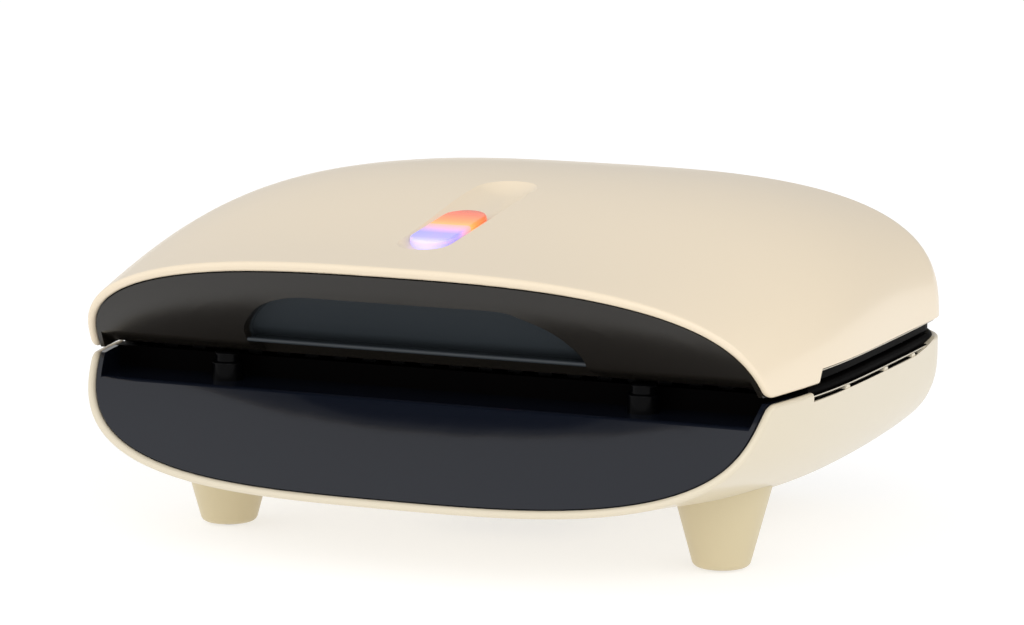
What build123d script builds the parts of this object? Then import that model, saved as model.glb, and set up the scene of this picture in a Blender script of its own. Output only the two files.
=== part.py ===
from build123d import *
from math import pi, cos, sin
import os

# Two-slice panini press. X right, Y to the rear, Z up, millimetres.
# Shapes are drawn with Y = 0 at the closed mouth corners; save() moves them to the middle.
CENTRE_Y = 65.2          # middle of the overall depth
GAP_Z = 60.9             # lower edge of the lid's shell at the front corners
BASE_EDGE_Z = 58.9       # upper edge of the base's shell
REAR_Y = 151.0           # outer rear wall of both shells
DOME_ROUND = 22.0        # rounding round the lid's rear wall
BOWL_ROUND = 21.0        # rounding round the base's rear wall
WALL = 2.5               # moulded wall
PLATE_W = 220.0          # grill plate width
PLATE_D = 125.0          # grill plate depth
PLATE_Y = 76.5           # middle of the grill plates
PLATE_TOP = 59.6         # rib tops of the lower plate
LID_PLATE_Z = 61.7       # rib tips of the upper plate
HINGE_Y = 158.0          # lid axis
HINGE_Z = 60.9
HINGE_X = 75.0           # middle of each hinge
KNUCKLE_R = 6.2
PIN_R = 2.5              # hinge pin
PIN_FIT = 0.05           # running clearance of the lid's knuckle on its pin
FOOT_X = 85.0            # front feet
FOOT_Y = 31.0
REAR_FOOT_X = 46.0
REAR_FOOT_Y = 133.0
SHELF_Z = 52.4           # flat shelf of the lower mouth
ELEMENT_R = 3.2          # tubular heater
SCOOP_R = 18.0           # section radius of the scoop in the lid
SCOOP_START = -0.5       # centres of the scoop's two round ends
SCOOP_END = 60.0
SCOOP_Z = 97.6           # bottom of the scoop at Y = -5
SCOOP_TILT = 7.85        # degrees
LENS_TOP = 3.1           # lens above the bottom of the scoop
INLET_X = 0.0            # cord inlet on the rear wall
INLET_Z = 36.0
INLET_BORE_R = 3.5

FOOT_SPOTS = [(-FOOT_X, FOOT_Y), (FOOT_X, FOOT_Y), (-REAR_FOOT_X, REAR_FOOT_Y),
              (REAR_FOOT_X, REAR_FOOT_Y)]
FRAME_POSTS = [(-113.4, 50), (113.4, 50), (-113.4, 110), (113.4, 110)]
HINGE_SCREW_X = (-84, -66, 66, 84)
BASE_SCREW_Z = 41.0
LID_SCREW_Z = 81.0
CLAMP_SPOTS = [(-82, 66.5), (82, 66.5), (-40, 36.5), (40, 36.5)]
CLAMP_SCREWS = [(-91.5, 66.5), (-72.5, 66.5), (91.5, 66.5), (72.5, 66.5), (-40, 27), (-40, 46),
                (40, 27), (40, 46)]
HEATER_Z = PLATE_TOP - 7 - ELEMENT_R
LID_HEATER_Z = LID_PLATE_Z + 7 + ELEMENT_R

# Stations from front to rear: y, half width, height from the edge, fullness of the arch
DOME = [(-42, 105.0, 35.2, 2.6), (-15, 112.3, 38.0, 2.75), (10, 117.0, 41.2, 2.95),
        (42, 120.2, 46.4, 3.15), (80, 120.4, 50.4, 3.25), (115, 119.8, 49.6, 3.2),
        (REAR_Y, 118.5, 46.5, 3.1)]
BOWL = [(-42, 106.0, 34.4, 3.2), (-15, 112.3, 37.6, 3.1), (10, 117.6, 41.0, 2.95),
        (42, 120.2, 45.2, 2.9), (80, 120.4, 46.2, 3.0), (115, 119.8, 43.5, 3.2),
        (REAR_Y, 118.5, 38.0, 3.2)]
# Side profile of the mouth: height from the gap, y of the slanted face, bow across X
LID_MOUTH = [(-2, -3.6, 0.01), (6.6, -10.5, 0.4), (20, -23.2, 5.0), (33.5, -32.6, 9.0),
             (46, -39.0, 11.0), (60, -45.0, 12.0)]
BASE_MOUTH = [(-1, -0.4, 0.01), (8.5, -9.8, 0.4), (22, -22.2, 5.0), (35.2, -32.6, 8.0),
              (48, -41.0, 9.0), (62, -49.0, 10.0)]


def arch(y, half, height, full, edge_z, up):
    """Half a superellipse standing on the edge plane, in the plane Y = y."""
    points = []
    for i in range(17):
        angle = pi * i / 16
        c, s = abs(cos(angle)), sin(angle)
        reach = (c ** full + s ** full) ** (-1 / full)
        points.append((half * reach * cos(angle), y, edge_z + up * height * reach * s))
    curve = Edge.make_spline(points, parameters=[i / 16 for i in range(17)])
    return make_face([curve, Line(points[-1], points[0])])


def vault(stations, edge_z, up, rounding, inset, crown=1.0):
    """Solid body of a shell, moved inwards by inset and by crown times inset at the middle."""
    faces = []
    for y, half, height, full in stations:
        back = min(y, REAR_Y - inset)
        faces.append(arch(back, half - inset, height - crown * inset, full, edge_z, up))
    body = loft(faces)
    rim = body.edges().group_by(Axis.Y)[-1].sort_by(SortBy.LENGTH)[-1]
    return fillet(rim, rounding - inset)


def dome(inset):
    return vault(DOME, GAP_Z, 1, DOME_ROUND, inset, 1.3)


def bowl(inset):
    return vault(BOWL, BASE_EDGE_Z, -1, BOWL_ROUND, inset)


def mouth(profile, up, back):
    """Everything behind the slanted face of one half of the mouth."""
    faces = []
    for h, y, bow in profile:
        z = GAP_Z + up * h
        front = Bezier((-130, y + back + bow, z), (0, y + back - bow, z), (130, y + back + bow, z))
        rest = Polyline((130, y + back + bow, z), (130, 260, z), (-130, 260, z),
                        (-130, y + back + bow, z))
        faces.append(make_face(front + rest))
    return loft(faces)


def bar(y0, y1, z0, z1, width=260.0):
    """Block across the press."""
    return Pos(0, (y0 + y1) / 2, (z0 + z1) / 2) * Box(width, y1 - y0, z1 - z0)


def side_cut(points, width=260.0):
    """Side outline in Y and Z, extruded across the press."""
    outline = make_face(Polyline([(0, y, z) for y, z in points], close=True))
    return extrude(outline, width / 2, dir=(1, 0, 0), both=True)


def plan(inset, y0, z0, z1):
    """Flat slab with the plan outline of the shells behind y0."""
    right = [(117.0 - inset, 10), (120.2 - inset, 42), (120.4 - inset, 80), (119.8 - inset, 115),
             (118.5 - inset, REAR_Y - inset)]
    left = [(-x, y) for x, y in reversed(right)]
    edge = Spline(right) + Line(right[-1], left[0]) + Spline(left) + Line(left[-1], right[0])
    face = make_face(edge)
    corners = face.vertices().group_by(Axis.Y)[-1]
    slab = extrude(Pos(0, 0, z0) * fillet(corners, DOME_ROUND - inset), z1 - z0)
    return slab - bar(-20, y0, z0 - 1, z1 + 1)


def capsule(width, y0, y1, z0, z1):
    """Upright block with round ends along Y."""
    shape = Pos(0, (y0 + y1) / 2) * SlotOverall(y1 - y0, width, rotation=90)
    return extrude(Pos(0, 0, z0) * shape, z1 - z0)


def group(pieces):
    return Compound(children=[piece for piece in pieces])


def screw(x, y, z, up, length, head_r=3.2, shank_r=1.5):
    """Pan-head screw, its head at z and its shank running towards up."""
    head = Cylinder(head_r, 2.0, align=(Align.CENTER, Align.CENTER, Align.MAX))
    head = fillet(head.edges().group_by(Axis.Z)[0], 0.8)
    head -= Pos(0, 0, -2) * Box(4.0, 0.8, 1.6)
    head -= Pos(0, 0, -2) * Box(0.8, 4.0, 1.6)
    body = head + Cylinder(shank_r, length, align=(Align.CENTER, Align.CENTER, Align.MIN))
    if up < 0:
        body = Rot(180, 0, 0) * body
    return Pos(x, y, z) * body


# ---- lid ------------------------------------------------------------------------------------

def channel(grow):
    """Shallow scoop along the top of the lid, hollow in section and round at both ends."""
    radius = SCOOP_R + grow
    length = SCOOP_END - SCOOP_START
    core = Rot(-90, 0, 0) * Cylinder(radius, length, align=(Align.CENTER, Align.CENTER, Align.MIN))
    core += Sphere(radius) + Pos(0, length, 0) * Sphere(radius)
    return on_channel(Pos(0, SCOOP_START, SCOOP_R) * core)


def soften_mouth(shell, edge_z):
    """Round the two corners where the slanted face meets the shell's edge."""
    corner = []
    for edge in shell.edges().filter_by_position(Axis.Z, edge_z - 0.3, edge_z + 0.3):
        middle = edge.center()
        if middle.Y < 6 and abs(middle.X) > 100 and edge.length < 8:
            corner.append(edge)
    return fillet(corner, 6.0)


def soften_rim(shell):
    """Round both edges of the slanted front face."""
    face = shell.faces().filter_by(lambda f: f.center().Y < -10).sort_by(SortBy.AREA)
    long_edges = []
    for candidate in face:
        edges = [edge for edge in candidate.edges() if edge.length > 200]
        if len(edges) == 2 and candidate.area < 1200:
            long_edges = edges
    return fillet(long_edges, 1.1)


def lid_notch():
    """Long notch in the lid's lower edge on both sides, its ends sloping."""
    outline = [(24.2, 50), (24.4, GAP_Z), (26.6, 65.3), (138.5, 65.3), (147.5, GAP_Z), (147.5, 50)]
    return side_cut(outline)


def base_notch():
    """Long notch in the base's upper edge on both sides, running out to the rear."""
    return side_cut([(20, 56.2), (110, 56.2), (120, 57.1), (126, 58.0), (133, BASE_EDGE_Z),
                     (133, 80), (20, 80)])


def holes(spots, radius, z0, z1):
    """Upright round cutters at the given spots."""
    pieces = []
    for x, y in spots:
        pieces.append(Pos(x, y, (z0 + z1) / 2) * Cylinder(radius, z1 - z0))
    return group(pieces)


def rear_holes(z, radius, length):
    """Round cutters through the rear wall where the hinge screws go."""
    pieces = []
    for x in HINGE_SCREW_X:
        pieces.append(Pos(x, REAR_Y + 3 - length / 2, z) * Rot(90, 0, 0) * Cylinder(radius, length))
    return group(pieces)


def upper_shell():
    shell = dome(0) - channel(0) - (dome(WALL) - channel(2.0))
    shell &= mouth(LID_MOUTH, 1, 0)
    shell = soften_mouth(shell, GAP_Z)
    shell = soften_rim(shell)
    shell -= lid_notch()
    shell -= on_channel(capsule(12.4, -1.3, 33.3, -6, 3))
    shell += holes(FRAME_POSTS, 3.0, 72, 98) & dome(1.2)
    return shell - holes(FRAME_POSTS, 1.3, 70, 84) - rear_holes(LID_SCREW_Z, 1.5, 7)


def recess(grow, depth0, depth1):
    """Arch-shaped block behind the lid's slanted panel."""
    low, top = 68.6 - grow, 84.9 + grow
    right = [(57 + grow, 0, low), (54.6 + grow, 0, 74.0), (49.4 + 0.8 * grow, 0, 79 + 0.5 * grow),
             (41 + 0.4 * grow, 0, 83 + 0.9 * grow), (28, 0, top)]
    left = [(-x, y, z) for x, y, z in reversed(right)]
    outline = Line(left[-1], right[0]) + Spline(right, tangents=[(-0.1, 0, 1), (-1, 0, 0)])
    outline += Line(right[-1], left[0]) + Spline(left, tangents=[(-1, 0, 0), (-0.1, 0, -1)])
    block = extrude(make_face(outline), 60, dir=(0, 1, 0), both=True)
    return block & (mouth(LID_MOUTH, 1, depth0) - mouth(LID_MOUTH, 1, depth1))


def lid_underside(raise_by):
    """Everything below the lid's front panel: level at the front, then falling to the rear."""
    z = raise_by
    return side_cut([(-80, 10), (-80, 67.4 + z), (-12, 67.4 + z), (3, 62.1 + z), (60, 62.1 + z),
                     (60, 10)])


def recess_floor(width, z0, depth0, depth1):
    """Ledge along the bottom of the recess, following the slanted panel."""
    return bar(-80, 40, z0, 68.6, width) & (mouth(LID_MOUTH, 1, depth0) - mouth(LID_MOUTH, 1, depth1))


def liner(shell, inner, profile, up, z0, z1):
    """Thin cheeks of a front panel that line the shell's wall at both mouth corners."""
    return (shell - inner) & mouth(profile, up, 0.8) & bar(-80, 11, z0, z1)


def groove(shell, inner, profile, up):
    """Fine groove between a front panel and the shell round it."""
    return (shell - inner) & (mouth(profile, up, 0) - mouth(profile, up, 2.2))


def upper_front_panel():
    outer = mouth(LID_MOUTH, 1, 0.8) - lid_underside(0)
    nose = outer.edges().filter_by_position(Axis.Z, 66, 67.4).filter_by_position(Axis.Y, -12, -8)
    outer = fillet(nose, 5.0)
    inner = mouth(LID_MOUTH, 1, 4.6) - lid_underside(2.6)
    room = dome(WALL)
    panel = (outer - inner - bar(11, 300, 0, 200)) & room
    panel += liner(room, dome(WALL + 1.8), LID_MOUTH, 1, GAP_Z, 69)
    panel -= groove(room, dome(WALL + 0.4), LID_MOUTH, 1)
    return panel - recess(0, -3, 12) - recess_floor(114, 60, -3, 9.2)


def handle_recess():
    tray = recess(1.6, 4.6, 9.2) - recess(0, 4.0, 7.2)
    tray = (tray & dome(WALL)) - lid_underside(2.6)
    ledge = recess_floor(113.8, 67.3, 0.7, 9.2)
    front = ledge.edges().group_by(Axis.Z)[-1].sort_by(Axis.Y)[0]
    return tray + fillet(front, 0.6)


def upper_frame():
    frame = plan(3.4, 11.0, 61.0, 72.0)
    frame += plan(1.1, 26.0, 64.3, 65.0) - bar(137, 200, 60, 70)
    frame -= bar(14, 139, 50, 80, PLATE_W + 1)
    frame &= dome(WALL) + lid_notch()
    return frame - holes(FRAME_POSTS, 2.5, 60, 63.4) - holes(FRAME_POSTS, 1.3, 60, 75)


def plate(top_z, up):
    """Ribbed plate; ribs run front to back, their tips at top_z, the body behind them."""
    body = Pos(0, PLATE_Y, -5) * Box(PLATE_W, PLATE_D, 4)
    body = fillet(body.edges().filter_by(Axis.Z), 7)
    for i in range(-10, 11):
        rib = Pos(i * 10, PLATE_Y, -1.5) * Box(4.6, PLATE_D - 14, 3)
        body += chamfer(rib.edges().group_by(Axis.Z)[-1], 0.8)
    rim = Pos(0, PLATE_Y, -2) * Box(PLATE_W, PLATE_D, 2)
    rim = fillet(rim.edges().filter_by(Axis.Z), 7)
    body += rim - Pos(0, PLATE_Y, -2) * Box(PLATE_W - 5, PLATE_D - 5, 4)
    body -= holes(CLAMP_SCREWS, 1.5, -7, -4.2)
    if up < 0:
        body = Rot(0, 180, 0) * body
    return Pos(0, 0, top_z) * body


def element(z):
    """Tubular heater bent into a U behind the plate, its two ends turned to the rear."""
    path = FilletPolyline((-30, PLATE_Y + 50, z), (-30, PLATE_Y + 30, z), (-82, PLATE_Y + 30, z),
                          (-82, PLATE_Y - 40, z), (82, PLATE_Y - 40, z), (82, PLATE_Y + 30, z),
                          (30, PLATE_Y + 30, z), (30, PLATE_Y + 50, z), radius=9)
    return sweep(Plane(path @ 0, z_dir=path % 0) * Circle(ELEMENT_R), path)


def clamps(z, up):
    """Saddle straps that hold the heater against the plate."""
    pieces = []
    for x, y in CLAMP_SPOTS:
        strap = Box(11, 26, 1.2) if abs(x) == 40 else Box(26, 11, 1.2)
        pieces.append(Pos(x, y, z - up * (ELEMENT_R + 0.6)) * strap)
    return group(pieces) - holes(CLAMP_SCREWS, 1.5, z - 10, z + 10)


def clamp_screws(z, up):
    pieces = []
    for x, y in CLAMP_SCREWS:
        pieces.append(screw(x, y, z - up * (ELEMENT_R + 1.2), up, 2 * ELEMENT_R + 4.0, 2.6))
    return group(pieces)


def frame_screws(z, up, length):
    """Screws that hold an inner frame to the posts of its shell."""
    pieces = []
    for x, y in FRAME_POSTS:
        pieces.append(screw(x, y, z, up, length, 2.4, 1.3))
    return group(pieces)


def shield(z0, z1, up):
    """Pressed steel tray behind the heater, open towards the plate."""
    tray = Pos(0, PLATE_Y, (z0 + z1) / 2) * Box(208, 112, z1 - z0)
    tray = fillet(tray.edges().filter_by(Axis.Z), 8)
    hollow = Pos(0, PLATE_Y, (z0 + z1) / 2 + up * 0.8) * Box(206.4, 110.4, z1 - z0)
    hollow = fillet(hollow.edges().filter_by(Axis.Z), 7.2)
    tray -= hollow
    for x in (-30, 30):
        tray -= Pos(x, PLATE_Y + 56, (z0 + z1) / 2) * Box(9, 6, z1 - z0 + 2)
    return tray - Pos(0, PLATE_Y, (z0 + z1) / 2) * Cylinder(10.5, 20)


def on_channel(shape):
    """Move a shape drawn on a level floor onto the sloping bottom of the scoop."""
    return Pos(0, -5, SCOOP_Z) * Rot(SCOOP_TILT, 0, 0) * Pos(0, 5, 0) * shape


def lamp_window():
    lens = fillet(capsule(14.6, -2.4, 34.4, 0, LENS_TOP).edges().group_by(Axis.Z)[-1], 0.9)
    lens = on_channel(lens) & channel(0)
    plug = capsule(12.4, -1.3, 33.3, -5, 1) - capsule(10.4, -0.3, 32.3, -5.1, 1.3)
    return (lens - on_channel(capsule(10.4, -0.3, 32.3, -1, 1.3))) + on_channel(plug)


def lamp_holder():
    box = capsule(15.0, -2.6, 34.6, -13, -5)
    box -= capsule(12.0, -1.1, 33.1, -11.5, -4)
    return on_channel(box)


def lamp(y0, y1):
    """Neon lamp lying along the channel."""
    length = y1 - y0
    tube = Pos(0, (y0 + y1) / 2, -4.0) * Rot(90, 0, 0) * Cylinder(3.4, length)
    tube = fillet(tube.edges().filter_by(GeomType.CIRCLE), 1.6)
    return on_channel(tube)


def hinge_leaf(z0, z1, knuckles):
    """Plate on the rear wall with arms out to its knuckles on the lid's axis."""
    leaf = None
    for side in (-1, 1):
        x = side * HINGE_X
        pad = Pos(x, REAR_Y + 1.5, (z0 + z1) / 2) * Box(30, 3.0, abs(z1 - z0))
        pad = fillet(pad.edges().filter_by(Axis.Y), 3)
        for x0, x1 in knuckles:
            width = x1 - x0
            middle = x + (x0 + x1) / 2
            eye = Pos(middle, HINGE_Y, HINGE_Z) * Rot(0, 90, 0) * Cylinder(KNUCKLE_R, width)
            near = z0 if abs(z0 - HINGE_Z) < abs(z1 - HINGE_Z) else z1
            arm = Pos(middle, HINGE_Y - 2, (near + HINGE_Z) / 2) * Box(width, 10, abs(near - HINGE_Z))
            pad += eye + arm
        leaf = pad if leaf is None else leaf + pad
    return leaf


def pin_hole(radius):
    holes = []
    for side in (-1, 1):
        holes.append(Pos(side * HINGE_X, HINGE_Y, HINGE_Z) * Rot(0, 90, 0) * Cylinder(radius, 60))
    return holes


def lid_hinge():
    leaf = hinge_leaf(68.0, 88.0, [(-5.7, 5.7)])
    for hole in pin_hole(PIN_R + PIN_FIT):
        leaf -= hole
    return (leaf & bar(REAR_Y, 200, 0, 200)) - rear_holes(LID_SCREW_Z, 1.5, 7)


def base_hinge():
    leaf = hinge_leaf(34.0, 54.0, [(-15, -6), (6, 15)])
    for hole in pin_hole(PIN_R):
        leaf -= hole
    return (leaf & bar(REAR_Y, 200, 0, 200)) - rear_holes(BASE_SCREW_Z, 1.5, 7)


def hinge_pins():
    pieces = []
    for side in (-1, 1):
        pin = Cylinder(PIN_R, 31)
        pin = chamfer(pin.edges().filter_by(GeomType.CIRCLE), 0.4)
        pin += Pos(0, 0, 15.6) * Cylinder(3.6, 1.2)
        pieces.append(Pos(side * HINGE_X, HINGE_Y, HINGE_Z) * Rot(0, side * 90, 0) * pin)
    return group(pieces)


def wall_screws(z):
    """Two screws through each hinge leaf, heads to the rear."""
    pieces = []
    for x in HINGE_SCREW_X:
        pieces.append(Pos(x, REAR_Y + 3, z) * Rot(90, 0, 0) * screw(0, 0, 0, 1, 7))
    return group(pieces)


# ---- base -----------------------------------------------------------------------------------

def lower_shell():
    shell = bowl(0) - bowl(WALL)
    shell &= mouth(BASE_MOUTH, -1, 0)
    shell = soften_rim(soften_mouth(shell, BASE_EDGE_Z))
    shell -= base_notch()
    wall = plan(0.35, 20, 55.5, 57.2) - plan(WALL, 20, 50, 60)
    for y in (46.5, 81.2, 108.2):
        shell += wall & side_cut([(y - 2.7, 55.5), (y - 1.2, 57.2), (y + 1.2, 57.2), (y + 2.7, 55.5)])
    for y in (52, 62, 72, 82, 92):
        shell -= extrude(Pos(0, y, 5) * SlotOverall(44, 3.2), 16)
    inlet = Pos(INLET_X, REAR_Y - 3, INLET_Z) * Rot(90, 0, 0)
    shell += inlet * Cylinder(10.5, 6)
    shell -= inlet * Cylinder(6.0, 10)
    shell += (holes(FRAME_POSTS, 3.0, 26, 50) + holes(FOOT_SPOTS, 4.0, 14, 35)) & bowl(1.2)
    shell -= holes(FRAME_POSTS, 1.3, 38, 52)
    return shell - holes(FOOT_SPOTS, 1.5, 10, 32.2) - rear_holes(BASE_SCREW_Z, 1.5, 7)


def lower_front_panel():
    above = bar(-80, 300, SHELF_Z, 90)
    outer = mouth(BASE_MOUTH, -1, 0.8) - above
    crease = outer.edges().filter_by_position(Axis.Z, SHELF_Z - 0.1, SHELF_Z + 0.1)
    crease = crease.filter_by_position(Axis.Y, -12, -5)
    outer = fillet(crease, 2.0)
    inner = mouth(BASE_MOUTH, -1, 4.4) - bar(-80, 300, SHELF_Z - 2.6, 90)
    room = bowl(WALL)
    panel = (outer - inner - bar(11, 300, 0, 200)) & room
    panel += liner(room, bowl(WALL + 1.8), BASE_MOUTH, -1, SHELF_Z - 1, BASE_EDGE_Z)
    return panel - groove(room, bowl(WALL + 0.4), BASE_MOUTH, -1)


def rest_bumpers():
    pieces = []
    for x in (-70.4, 70.4):
        foot = fillet(Cylinder(5.0, 6.0).edges().group_by(Axis.Z)[-1], 0.8)
        cap = fillet(Cylinder(4.0, 9.3).edges().group_by(Axis.Z)[-1], 1.2)
        pieces.append(Pos(x, 3.0, SHELF_Z) * (Pos(0, 0, 3) * foot + Pos(0, 0, 4.65) * cap))
    return group(pieces)


def lower_frame():
    frame = plan(1.9, 20.5, 57.4, 60.3)
    frame = fillet(frame.edges().group_by(Axis.Z)[-1], 1.6) + plan(2.9, 11.0, 50.0, 59.0)
    frame += plan(0.9, 21.0, 57.2, 57.7) - bar(134, 200, 50, 70)
    frame = (frame & frame_room()) - bar(14, 139, 40, 80, PLATE_W + 1)
    return frame - holes(FRAME_POSTS, 2.5, 58.0, 62) - holes(FRAME_POSTS, 1.3, 48, 62)


def frame_room():
    """Room for the lower frame: inside the bowl's wall, above it, or in its side openings."""
    return bowl(WALL) + bar(-20, 200, BASE_EDGE_Z, 80) + base_notch()


def foot(x, y):
    cone = Cone(8.7, 17.6, 33, align=(Align.CENTER, Align.CENTER, Align.MIN))
    cone = fillet(cone.edges().group_by(Axis.Z)[0], 2.2)
    cone = Pos(x, y, 0.7) * cone
    cone -= Pos(x, y, 0) * Cylinder(4.4, 5, align=(Align.CENTER, Align.CENTER, Align.MIN))
    cone -= holes([(x, y)], 3.4, 4, 7.2) + holes([(x, y)], 1.5, 4, 40)
    return cone - bowl(0)


def foot_screws():
    return group([screw(x, y, 7.2, 1, 24, 3.2, 1.5) for x, y in FOOT_SPOTS])


def foot_pads():
    pieces = []
    for x, y in FOOT_SPOTS:
        pad = Cylinder(4.4, 5, align=(Align.CENTER, Align.CENTER, Align.MIN))
        pieces.append(Pos(x, y, 0) * fillet(pad.edges().group_by(Axis.Z)[0], 0.4))
    return group(pieces)


def cord_inlet():
    """Grommet in the rear wall, with a flange on each side of it."""
    ring = Pos(0, 0, -3.0) * Cylinder(6.0, 12.0) + Pos(0, 0, 2.4) * Cylinder(9.0, 4.8)
    ring += Pos(0, 0, -7.5) * Cylinder(7.6, 3.0)
    ring = chamfer(ring.edges().group_by(Axis.Z)[-1], 1.0)
    ring -= Cylinder(INLET_BORE_R, 30)
    return Pos(INLET_X, REAR_Y, INLET_Z) * Rot(-90, 0, 0) * ring


def thermostat(x, y, z, up):
    body = Cylinder(9, 8) + Pos(0, 0, -6) * Cylinder(6.5, 4)
    body += Pos(0, 0, 3) * Box(26, 7, 1.2)
    for side in (-1, 1):
        body += Pos(side * 5, 0, -11) * Box(1, 5, 8)
    if up < 0:
        body = Rot(0, 180, 0) * body
    return Pos(x, y, z) * body


def thermal_fuse():
    """Fuse in a sleeve against the plate, with its two wire tails."""
    fuse = Rot(0, 90, 0) * Cylinder(2.0, 12) + Rot(0, 90, 0) * Cylinder(0.6, 26)
    return Pos(0, PLATE_Y + 18, HEATER_Z + ELEMENT_R - 2.0) * fuse


def terminal_block():
    block = None
    for i in range(3):
        cell = Box(8.6, 18, 12) - Pos(0, 0, 2) * Rot(90, 0, 0) * Cylinder(2.0, 30)
        cell -= Pos(0, 5, 4) * Cylinder(1.8, 6)
        cell -= Pos(0, -5, 4) * Cylinder(1.8, 6)
        cell = Pos(i * 8.6 - 8.6, 0, 0) * cell
        block = cell if block is None else block + cell
    return Pos(INLET_X, 116, 26.5) * block


def lead(points, radius):
    """Insulated wire along straight runs and tangent bends."""
    path = FilletPolyline(*points, radius=6)
    return sweep(Plane(path @ 0, z_dir=path % 0) * Circle(radius), path)


def base_leads():
    """Wires from the terminal block to the heater's ends and the thermostat."""
    z = HEATER_Z
    first = [(8.6, 125.1, 28.5), (8.6, 138, 28.5), (30, 138, z - 8), (30, 138, z), (30, 127.2, z)]
    second = [(-8.6, 125.1, 28.5), (-8.6, 138, 28.5), (-30, 138, z - 8), (-30, 138, z),
              (-30, 127.2, z)]
    return group([lead(first, 1.3), lead(second, 1.3)])


def build():
    parts = {}
    parts["lower_shell"] = lower_shell()
    parts["lower_front_panel"] = lower_front_panel()
    parts["lower_frame"] = lower_frame()
    parts["lower_plate"] = plate(PLATE_TOP, 1)
    parts["lower_heating_element"] = element(HEATER_Z)
    parts["lower_element_clamps"] = clamps(HEATER_Z, 1)
    parts["lower_clamp_screws"] = clamp_screws(HEATER_Z, 1)
    parts["lower_heat_shield"] = shield(40.0, 52.6, 1)
    parts["lower_frame_screws"] = frame_screws(58.0, -1, 18)
    parts["thermostat"] = thermostat(0, PLATE_Y, 48.6, 1)
    parts["thermal_fuse"] = thermal_fuse()
    parts["rest_bumpers"] = rest_bumpers()
    parts["foot_front_left"] = foot(-FOOT_X, FOOT_Y)
    parts["foot_front_right"] = foot(FOOT_X, FOOT_Y)
    parts["foot_rear_left"] = foot(-REAR_FOOT_X, REAR_FOOT_Y)
    parts["foot_rear_right"] = foot(REAR_FOOT_X, REAR_FOOT_Y)
    parts["foot_pads"] = foot_pads()
    parts["base_hinge"] = base_hinge()
    parts["base_hinge_screws"] = wall_screws(BASE_SCREW_Z)
    parts["foot_screws"] = foot_screws()
    parts["hinge_pins"] = hinge_pins()
    parts["cord_inlet"] = cord_inlet()
    parts["terminal_block"] = terminal_block()
    parts["base_leads"] = base_leads()
    parts["upper_shell"] = upper_shell()
    parts["upper_front_panel"] = upper_front_panel()
    parts["handle_recess"] = handle_recess()
    parts["upper_frame"] = upper_frame()
    parts["upper_plate"] = plate(LID_PLATE_Z, -1)
    parts["upper_heating_element"] = element(LID_HEATER_Z)
    parts["upper_element_clamps"] = clamps(LID_HEATER_Z, -1)
    parts["upper_clamp_screws"] = clamp_screws(LID_HEATER_Z, -1)
    parts["upper_heat_shield"] = shield(68.7, 81.3, -1)
    parts["upper_frame_screws"] = frame_screws(63.4, 1, 19)
    parts["upper_thermal_cutout"] = thermostat(0, PLATE_Y, 72.7, -1)
    parts["lamp_window"] = lamp_window()
    parts["lamp_holder"] = lamp_holder()
    parts["power_lamp"] = lamp(17.0, 31.5)
    parts["ready_lamp"] = lamp(0.5, 15.0)
    parts["lid_hinge"] = lid_hinge()
    parts["lid_hinge_screws"] = wall_screws(LID_SCREW_Z)
    return parts


def save(name, shape):
    export_step(Pos(0, -CENTRE_Y, 0) * shape, f"parts/{name}.step")


if __name__ == "__main__":
    os.makedirs("parts", exist_ok=True)
    for name, shape in build().items():
        save(name, shape)
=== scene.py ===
from math import cos, radians, sin

import bpy
from mathutils import Matrix, Vector


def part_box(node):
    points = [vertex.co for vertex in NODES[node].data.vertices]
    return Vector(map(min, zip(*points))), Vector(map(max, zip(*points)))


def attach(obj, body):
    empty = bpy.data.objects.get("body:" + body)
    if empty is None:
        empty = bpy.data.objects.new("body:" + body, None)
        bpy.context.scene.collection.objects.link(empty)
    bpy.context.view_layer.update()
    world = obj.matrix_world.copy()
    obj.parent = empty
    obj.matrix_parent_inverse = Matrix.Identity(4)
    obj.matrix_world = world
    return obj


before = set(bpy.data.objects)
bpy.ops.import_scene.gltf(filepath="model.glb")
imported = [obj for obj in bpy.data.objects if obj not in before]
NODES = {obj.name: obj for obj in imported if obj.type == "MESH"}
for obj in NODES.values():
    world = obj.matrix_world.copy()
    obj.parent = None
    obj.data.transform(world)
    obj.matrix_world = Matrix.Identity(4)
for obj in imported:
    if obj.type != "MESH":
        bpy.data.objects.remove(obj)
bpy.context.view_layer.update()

# Materials
PLASTIC_IOR = 1.5
LENS_IOR = 1.45
DRIFT_SCALE = 9.0           # slow colour drift across the whole object
BUMP_HEIGHT = 0.0004
LEAST_ROUGHNESS = 0.02

# Inner frames' flanges, in metres
BASE_FLANGE_Z = 0.0577      # top of the lower frame's flange
LID_FLANGE_Z = 0.0650       # top of the upper frame's flange
FLANGE_MIN_X = 0.113        # the flanges' side edges lie further out than this
SAME_HEIGHT = 2e-5
EDGE_INSET = 0.0003         # how far a painted edge highlight reaches into its flange
EDGE_PROUD = 0.00014

# Floor of the base's side notch, and the strip of painted shade laid on it, in metres
SILL_FRONT_Y = -0.0450
SILL_REAR_Y = 0.0535
SILL_Z = 0.0562
SILL_RISE_Y = 0.0448        # the notch's floor slopes up behind this
SILL_SLOPE = 0.09
SILL_PROUD = 0.00006
SILL_TALL = 0.0001
SILL_INNER = 0.0011         # from the flange's edge inward, and outward
SILL_OUTER = 0.0005

# Stage
FLOOR_SIZE = 14
FLOOR_GREY = 0.5
FLOOR_ROUGHNESS = 0.9
FLOOR_GLOW = 0.60
SKY_STRENGTH = 0.81
SKY_ACROSS = (-0.9, 0.5, 1.5, 0.85)     # from, to, and the strength at each
SKY_ALONG = (-0.8, 0.9, 1.25, 0.55)
LIGHTS_AIM = (0, 0, 0.05)
LIGHTS = [
    # name, place, size, power
    ("front", (0.9, -1.3, 0.95), (1.4, 0.9), 6),
    ("right", (1.5, 0.2, 0.9), (1.2, 0.9), 5),
]

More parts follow.
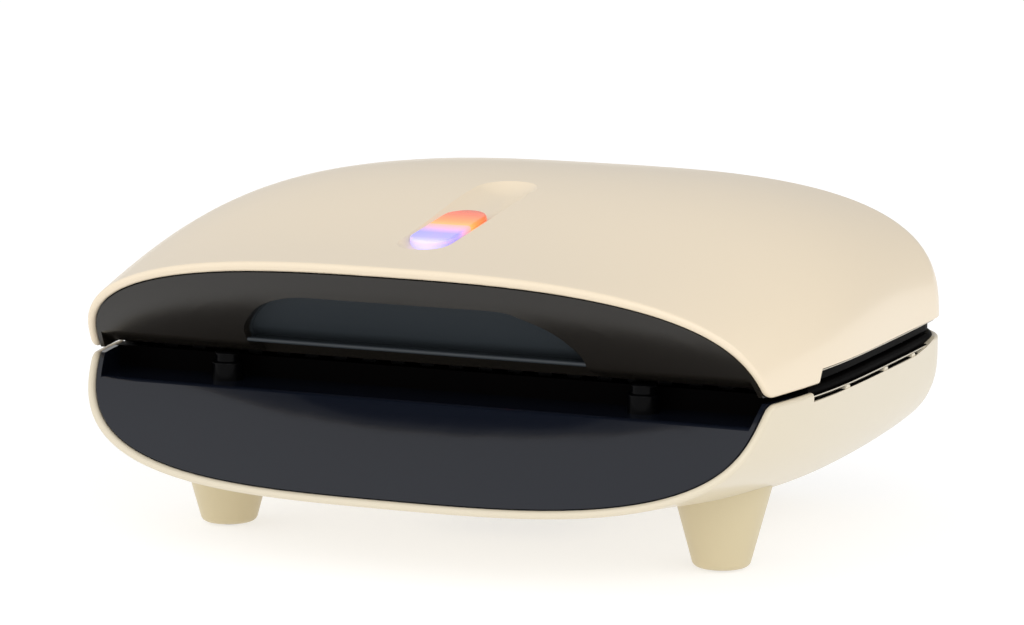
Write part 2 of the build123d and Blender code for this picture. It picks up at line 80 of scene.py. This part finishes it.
# Camera
CAMERA_PLACE = (0.6070, -1.3660, 0.3136)
CAMERA_TURN = radians(23.983)
CAMERA_DROP = radians(9.3)
CAMERA_LENS = 167.03
CAMERA_SENSOR = 36
CAMERA_CLIP = 0.05


# ---- materials ------------------------------------------------------------------------------

def srgb(r, g, b):
    """Linear colour of a 0-255 screen colour."""
    out = []
    for value in (r, g, b):
        v = value / 255
        out.append(v / 12.92 if v <= 0.04045 else ((v + 0.055) / 1.055) ** 2.4)
    return (*out, 1.0)


def noise(tree, place, scale, detail):
    """Noise in the object's own coordinates."""
    node = tree.nodes.new("ShaderNodeTexNoise")
    node.inputs["Scale"].default_value = scale
    node.inputs["Detail"].default_value = detail
    tree.links.new(place.outputs["Object"], node.inputs["Vector"])
    return node.outputs["Fac"]


def remap(tree, value, low, high, at_low, at_high):
    """Straight-line remap of a value, held level outside its range."""
    node = tree.nodes.new("ShaderNodeMapRange")
    node.inputs["From Min"].default_value = low
    node.inputs["From Max"].default_value = high
    node.inputs["To Min"].default_value = at_low
    node.inputs["To Max"].default_value = at_high
    tree.links.new(value, node.inputs["Value"])
    return node.outputs["Result"]


def material(name, colour, roughness, metallic=0.0, grain=400.0, bump=0.02, vary=0.04,
             spread=0.05, coat=0.0, coat_roughness=0.05, specular=0.5):
    """Moulded or milled surface: noise drives colour, roughness and a fine bump."""
    mat = bpy.data.materials.new(name)
    mat.use_nodes = True
    tree = mat.node_tree
    shader = tree.nodes["Principled BSDF"]
    shader.inputs["Metallic"].default_value = metallic
    shader.inputs["IOR"].default_value = PLASTIC_IOR
    shader.inputs["Specular IOR Level"].default_value = specular
    shader.inputs["Coat Weight"].default_value = coat
    shader.inputs["Coat Roughness"].default_value = coat_roughness
    place = tree.nodes.new("ShaderNodeTexCoord")
    broad = noise(tree, place, DRIFT_SCALE, 3.0)
    fine = noise(tree, place, grain, 4.0)
    tint = tree.nodes.new("ShaderNodeMix")
    tint.data_type = "RGBA"
    base = Vector(colour[:3])
    tint.inputs["A"].default_value = (*(base * (1 - vary)), 1.0)
    tint.inputs["B"].default_value = (*(base * (1 + vary)), 1.0)
    tree.links.new(broad, tint.inputs["Factor"])
    tree.links.new(tint.outputs["Result"], shader.inputs["Base Color"])
    rough = remap(tree, fine, 0.0, 1.0, max(LEAST_ROUGHNESS, roughness - spread),
                  roughness + spread)
    tree.links.new(rough, shader.inputs["Roughness"])
    if bump:
        relief = tree.nodes.new("ShaderNodeBump")
        relief.inputs["Strength"].default_value = bump
        relief.inputs["Distance"].default_value = BUMP_HEIGHT
        tree.links.new(fine, relief.inputs["Height"])
        tree.links.new(relief.outputs["Normal"], shader.inputs["Normal"])
    return mat


def lamp_material(name, colour, strength):
    """Frosted lamp cap with its own glow."""
    mat = material(name, colour, 0.3, grain=500, bump=0.05)
    shader = mat.node_tree.nodes["Principled BSDF"]
    shader.inputs["Emission Color"].default_value = colour
    shader.inputs["Emission Strength"].default_value = strength
    return mat


def lens_material():
    """Clear lens lit from below: violet at the front, through pink, to orange at the rear."""
    mat = material("clear_lens", srgb(250, 240, 238), 0.07, grain=300, bump=0.004, vary=0.01,
                   spread=0.03, coat=0.6, coat_roughness=0.03)
    tree = mat.node_tree
    shader = tree.nodes["Principled BSDF"]
    place = tree.nodes.new("ShaderNodeTexCoord")
    split = tree.nodes.new("ShaderNodeSeparateXYZ")
    tree.links.new(place.outputs["Object"], split.inputs["Vector"])
    low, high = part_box("lamp_window")
    along = remap(tree, split.outputs["Y"], low[1], high[1], 0.0, 1.0)
    ramp = tree.nodes.new("ShaderNodeValToRGB")
    stops = ramp.color_ramp.elements
    stops[0].color = srgb(222, 214, 246)
    stops[-1].color = srgb(240, 170, 150)
    for spot, colour in [(0.12, (176, 170, 250)), (0.26, (160, 160, 255)),
                         (0.38, (214, 176, 226)), (0.505, (250, 184, 178)),
                         (0.52, (255, 186, 96)), (0.62, (255, 158, 70)),
                         (0.82, (246, 116, 66)), (0.97, (196, 84, 56))]:
        stops.new(spot).color = srgb(*colour)
    tree.links.new(along, ramp.inputs["Fac"])
    tree.links.new(ramp.outputs["Color"], shader.inputs["Base Color"])
    tree.links.new(ramp.outputs["Color"], shader.inputs["Emission Color"])
    shader.inputs["Emission Strength"].default_value = 0.42
    shader.inputs["Transmission Weight"].default_value = 0.35
    shader.inputs["IOR"].default_value = LENS_IOR
    return mat


CREAM = material("cream_shell", srgb(233, 217, 191), 0.32, grain=160, bump=0.001, vary=0.012,
                 spread=0.02, coat=0.2, coat_roughness=0.08)
# the shells' cream made darker for the lower shell: painted shade
CREAM_BASE_SHADED = material("cream_base_painted_shade", srgb(218, 207, 184), 0.32, grain=160, bump=0.001,
                     vary=0.012, spread=0.02, coat=0.2, coat_roughness=0.08)
FOOT = material("cream_foot", srgb(207, 193, 158), 0.38, grain=300, bump=0.01, vary=0.02)
LOW_PANEL = material("gloss_dark_panel", srgb(16, 20, 30), 0.12, grain=250, bump=0.002,
                     vary=0.05, spread=0.03, specular=0.38)
UP_PANEL = material("satin_dark_panel", srgb(29, 26, 22), 0.25, grain=300, bump=0, vary=0.05,
                    spread=0.01, specular=0.42)
# satin black of the frames; also the colour of the painted-shade strips on the notch floors
BLACK = material("satin_black", srgb(7, 6, 6), 0.4, grain=500, bump=0.01, vary=0.06,
                 specular=0.008)
RECESS = material("recess_dark", srgb(48, 53, 57), 0.24, grain=400, bump=0.003, vary=0.05,
                  specular=0.35)
# painted highlight: light colour standing in for the shine along the black frames' flange edges
EDGE_HIGHLIGHT_PAINT = material("painted_edge_highlight", srgb(206, 198, 180), 0.35, grain=600, bump=0.01, vary=0.03)
# black rubber, darkened below the other rubber as painted shade inside the mouth
BUMPER_RUBBER_SHADED = material("bumper_rubber_painted_shade", srgb(4, 4, 5), 0.2, grain=900, bump=0.02, vary=0.05,
                  specular=0.06)
COATED = material("nonstick_coating", srgb(15, 15, 16), 0.42, grain=2200, bump=0.1,
                  vary=0.08, specular=0.2)
STEEL = material("pressed_steel", srgb(176, 176, 178), 0.3, metallic=1.0, grain=300, bump=0.04)
HEATER = material("oxidised_sheath", srgb(92, 84, 76), 0.45, metallic=0.9, grain=500,
                  bump=0.15, vary=0.15)
RUBBER = material("soft_rubber", srgb(12, 12, 14), 0.35, grain=900, bump=0.03, vary=0.05,
                  specular=0.3)
CERAMIC = material("ceramic_white", srgb(226, 222, 212), 0.45, grain=800, bump=0.08)
SLEEVE = material("braided_sleeve", srgb(196, 194, 186), 0.7, grain=3000, bump=0.4, vary=0.1)
ORANGE = lamp_material("neon_orange", srgb(255, 120, 50), 1.2)
VIOLET = lamp_material("neon_violet", srgb(150, 150, 255), 1.0)
LENS = lens_material()

LOOKS = {
    CREAM: ["upper_shell"],
    CREAM_BASE_SHADED: ["lower_shell"],
    FOOT: ["foot_front_left", "foot_front_right", "foot_rear_left", "foot_rear_right"],
    LOW_PANEL: ["lower_front_panel"],
    UP_PANEL: ["upper_front_panel"],
    RECESS: ["handle_recess"],
    BLACK: ["lower_frame", "upper_frame"],
    COATED: ["lower_plate", "upper_plate"],
    HEATER: ["lower_heating_element", "upper_heating_element"],
    STEEL: ["lower_element_clamps", "lower_clamp_screws", "lower_heat_shield",
            "lower_frame_screws", "thermal_fuse", "foot_screws", "base_hinge",
            "base_hinge_screws", "hinge_pins", "upper_element_clamps", "upper_clamp_screws",
            "upper_heat_shield", "upper_frame_screws", "lid_hinge", "lid_hinge_screws"],
    RUBBER: ["foot_pads", "cord_inlet"],
    BUMPER_RUBBER_SHADED: ["rest_bumpers"],
    CERAMIC: ["thermostat", "terminal_block", "upper_thermal_cutout", "lamp_holder"],
    SLEEVE: ["base_leads"],
    ORANGE: ["power_lamp"],
    VIOLET: ["ready_lamp"],
    LENS: ["lamp_window"],
}

for look, names in LOOKS.items():
    for name in names:
        slots = NODES[name].data.materials
        slots.clear()
        slots.append(look)


# ---- painted highlights and painted shade in the side notches ---------------------------------

def flange_path(node, z, side):
    """Outer edge of a frame's flange on one side, front to rear, as its convex outline."""
    spots = [vertex.co.copy() for vertex in NODES[node].data.vertices
             if abs(vertex.co.z - z) < SAME_HEIGHT and vertex.co.x * side > FLANGE_MIN_X]
    outline = []
    for spot in sorted(spots, key=lambda co: (co.y, co.x * side)):
        while len(outline) > 1:
            first, last = outline[-2], outline[-1]
            turn = ((last.y - first.y) * (spot.x - first.x) * side
                    - (last.x - first.x) * side * (spot.y - first.y))
            if turn < 0:
                break
            outline.pop()
        outline.append(spot)
    return outline


def section(spot, side, inner, outer, top, tall):
    """Four corners round one spot of a strip, wound outward on either side."""
    near, far = spot.x - side * inner, spot.x + side * outer
    ring = [(far, spot.y, top), (far, spot.y, top - tall),
            (near, spot.y, top - tall), (near, spot.y, top)]
    return ring if side > 0 else ring[::-1]


def strip(name, body, look, sections):
    """Closed bar through four-cornered sections, front to rear."""
    corners = [corner for ring in sections for corner in ring]
    faces = []
    for i in range(len(sections) - 1):
        for k in range(4):
            a, b = 4 * i + k, 4 * i + (k + 1) % 4
            faces.append((a, b, b + 4, a + 4))
    last = 4 * (len(sections) - 1)
    faces += [(3, 2, 1, 0), (last, last + 1, last + 2, last + 3)]
    mesh = bpy.data.meshes.new(name)
    mesh.from_pydata(corners, [], faces)
    mesh.materials.append(look)
    piece = bpy.data.objects.new(name, mesh)
    bpy.context.scene.collection.objects.link(piece)
    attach(piece, body)
    return piece


def highlight_strip(name, body, node, z, side, drop, tall):
    """Painted highlight: narrow light strip along a flange's outer edge, its top a little below
    the flange's.
    """
    sections = [section(spot, side, EDGE_INSET, EDGE_PROUD, z - drop, tall)
                for spot in flange_path(node, z, side)]
    strip(name, body, EDGE_HIGHLIGHT_PAINT, sections)


def notch_shade_strip(name, side):
    """Painted shade: black strip on the floor of the base's side notch, under the lower frame's
    flange, where the cream floor lies in shade.
    """
    sections = []
    for spot in flange_path("lower_frame", BASE_FLANGE_Z, side):
        if SILL_FRONT_Y < spot.y < SILL_REAR_Y:
            floor_z = SILL_Z + max(0.0, spot.y - SILL_RISE_Y) * SILL_SLOPE
            sections.append(section(spot, side, SILL_INNER, SILL_OUTER, floor_z + SILL_PROUD,
                                    SILL_TALL))
    strip(name, "base", BLACK, sections)


for side, label in ((1, "right"), (-1, "left")):
    # painted highlight along each frame's flange edge
    highlight_strip("base_edge_highlight_" + label, "base", "lower_frame", BASE_FLANGE_Z, side,
               drop=0.00015, tall=0.00035)
    highlight_strip("lid_edge_highlight_" + label, "lid", "upper_frame", LID_FLANGE_Z, side,
               drop=0.0003, tall=0.00025)
    # painted shade on the floor of the side notch
    notch_shade_strip("base_notch_shade_" + label, side)


# ---- stage ----------------------------------------------------------------------------------

def floor():
    """Plain pale floor, lit a little from within so that it stays near white."""
    bpy.ops.mesh.primitive_plane_add(size=FLOOR_SIZE, location=(0, 0, 0))
    plane = bpy.context.object
    plane.name = "floor"
    mat = bpy.data.materials.new("floor_white")
    mat.use_nodes = True
    shader = mat.node_tree.nodes["Principled BSDF"]
    shader.inputs["Base Color"].default_value = (FLOOR_GREY, FLOOR_GREY, FLOOR_GREY, 1)
    shader.inputs["Roughness"].default_value = FLOOR_ROUGHNESS
    shader.inputs["Specular IOR Level"].default_value = 0.0
    shader.inputs["Emission Color"].default_value = (1, 1, 1, 1)
    shader.inputs["Emission Strength"].default_value = FLOOR_GLOW
    plane.data.materials.append(mat)


def area_light(name, place, size, power):
    """Soft rectangular light turned to the object's middle."""
    data = bpy.data.lights.new(name, "AREA")
    data.shape = "RECTANGLE"
    data.size, data.size_y = size
    data.energy = power
    lamp = bpy.data.objects.new(name, data)
    lamp.location = place
    aim = Vector(LIGHTS_AIM) - Vector(place)
    lamp.rotation_euler = aim.to_track_quat("-Z", "Y").to_euler()
    bpy.context.scene.collection.objects.link(lamp)


def sky():
    """Studio surround, brighter on the object's left and in front."""
    world = bpy.data.worlds.new("studio")
    world.use_nodes = True
    tree = world.node_tree
    back = tree.nodes["Background"]
    place = tree.nodes.new("ShaderNodeTexCoord")
    split = tree.nodes.new("ShaderNodeSeparateXYZ")
    tree.links.new(place.outputs["Generated"], split.inputs["Vector"])
    both = tree.nodes.new("ShaderNodeMath")
    both.operation = "MULTIPLY"
    tree.links.new(remap(tree, split.outputs["X"], *SKY_ACROSS), both.inputs[0])
    tree.links.new(remap(tree, split.outputs["Y"], *SKY_ALONG), both.inputs[1])
    tree.links.new(both.outputs["Value"], back.inputs["Color"])
    back.inputs["Strength"].default_value = SKY_STRENGTH
    bpy.context.scene.world = world


def camera():
    """Camera at the photograph's angle: off to the right, looking a little down."""
    look = Vector((-sin(CAMERA_TURN) * cos(CAMERA_DROP), cos(CAMERA_TURN) * cos(CAMERA_DROP),
                   -sin(CAMERA_DROP)))
    right = Vector((cos(CAMERA_TURN), sin(CAMERA_TURN), 0))
    up = right.cross(look)
    data = bpy.data.cameras.new("camera")
    data.lens = CAMERA_LENS
    data.sensor_width = CAMERA_SENSOR
    data.clip_start = CAMERA_CLIP
    cam = bpy.data.objects.new("camera", data)
    turned = Matrix((right, up, -look)).transposed()
    cam.matrix_world = Matrix.Translation(CAMERA_PLACE) @ turned.to_4x4()
    bpy.context.scene.collection.objects.link(cam)
    bpy.context.scene.camera = cam


floor()
sky()
for light in LIGHTS:
    area_light(*light)
camera()
bpy.context.scene.view_settings.view_transform = "Standard"
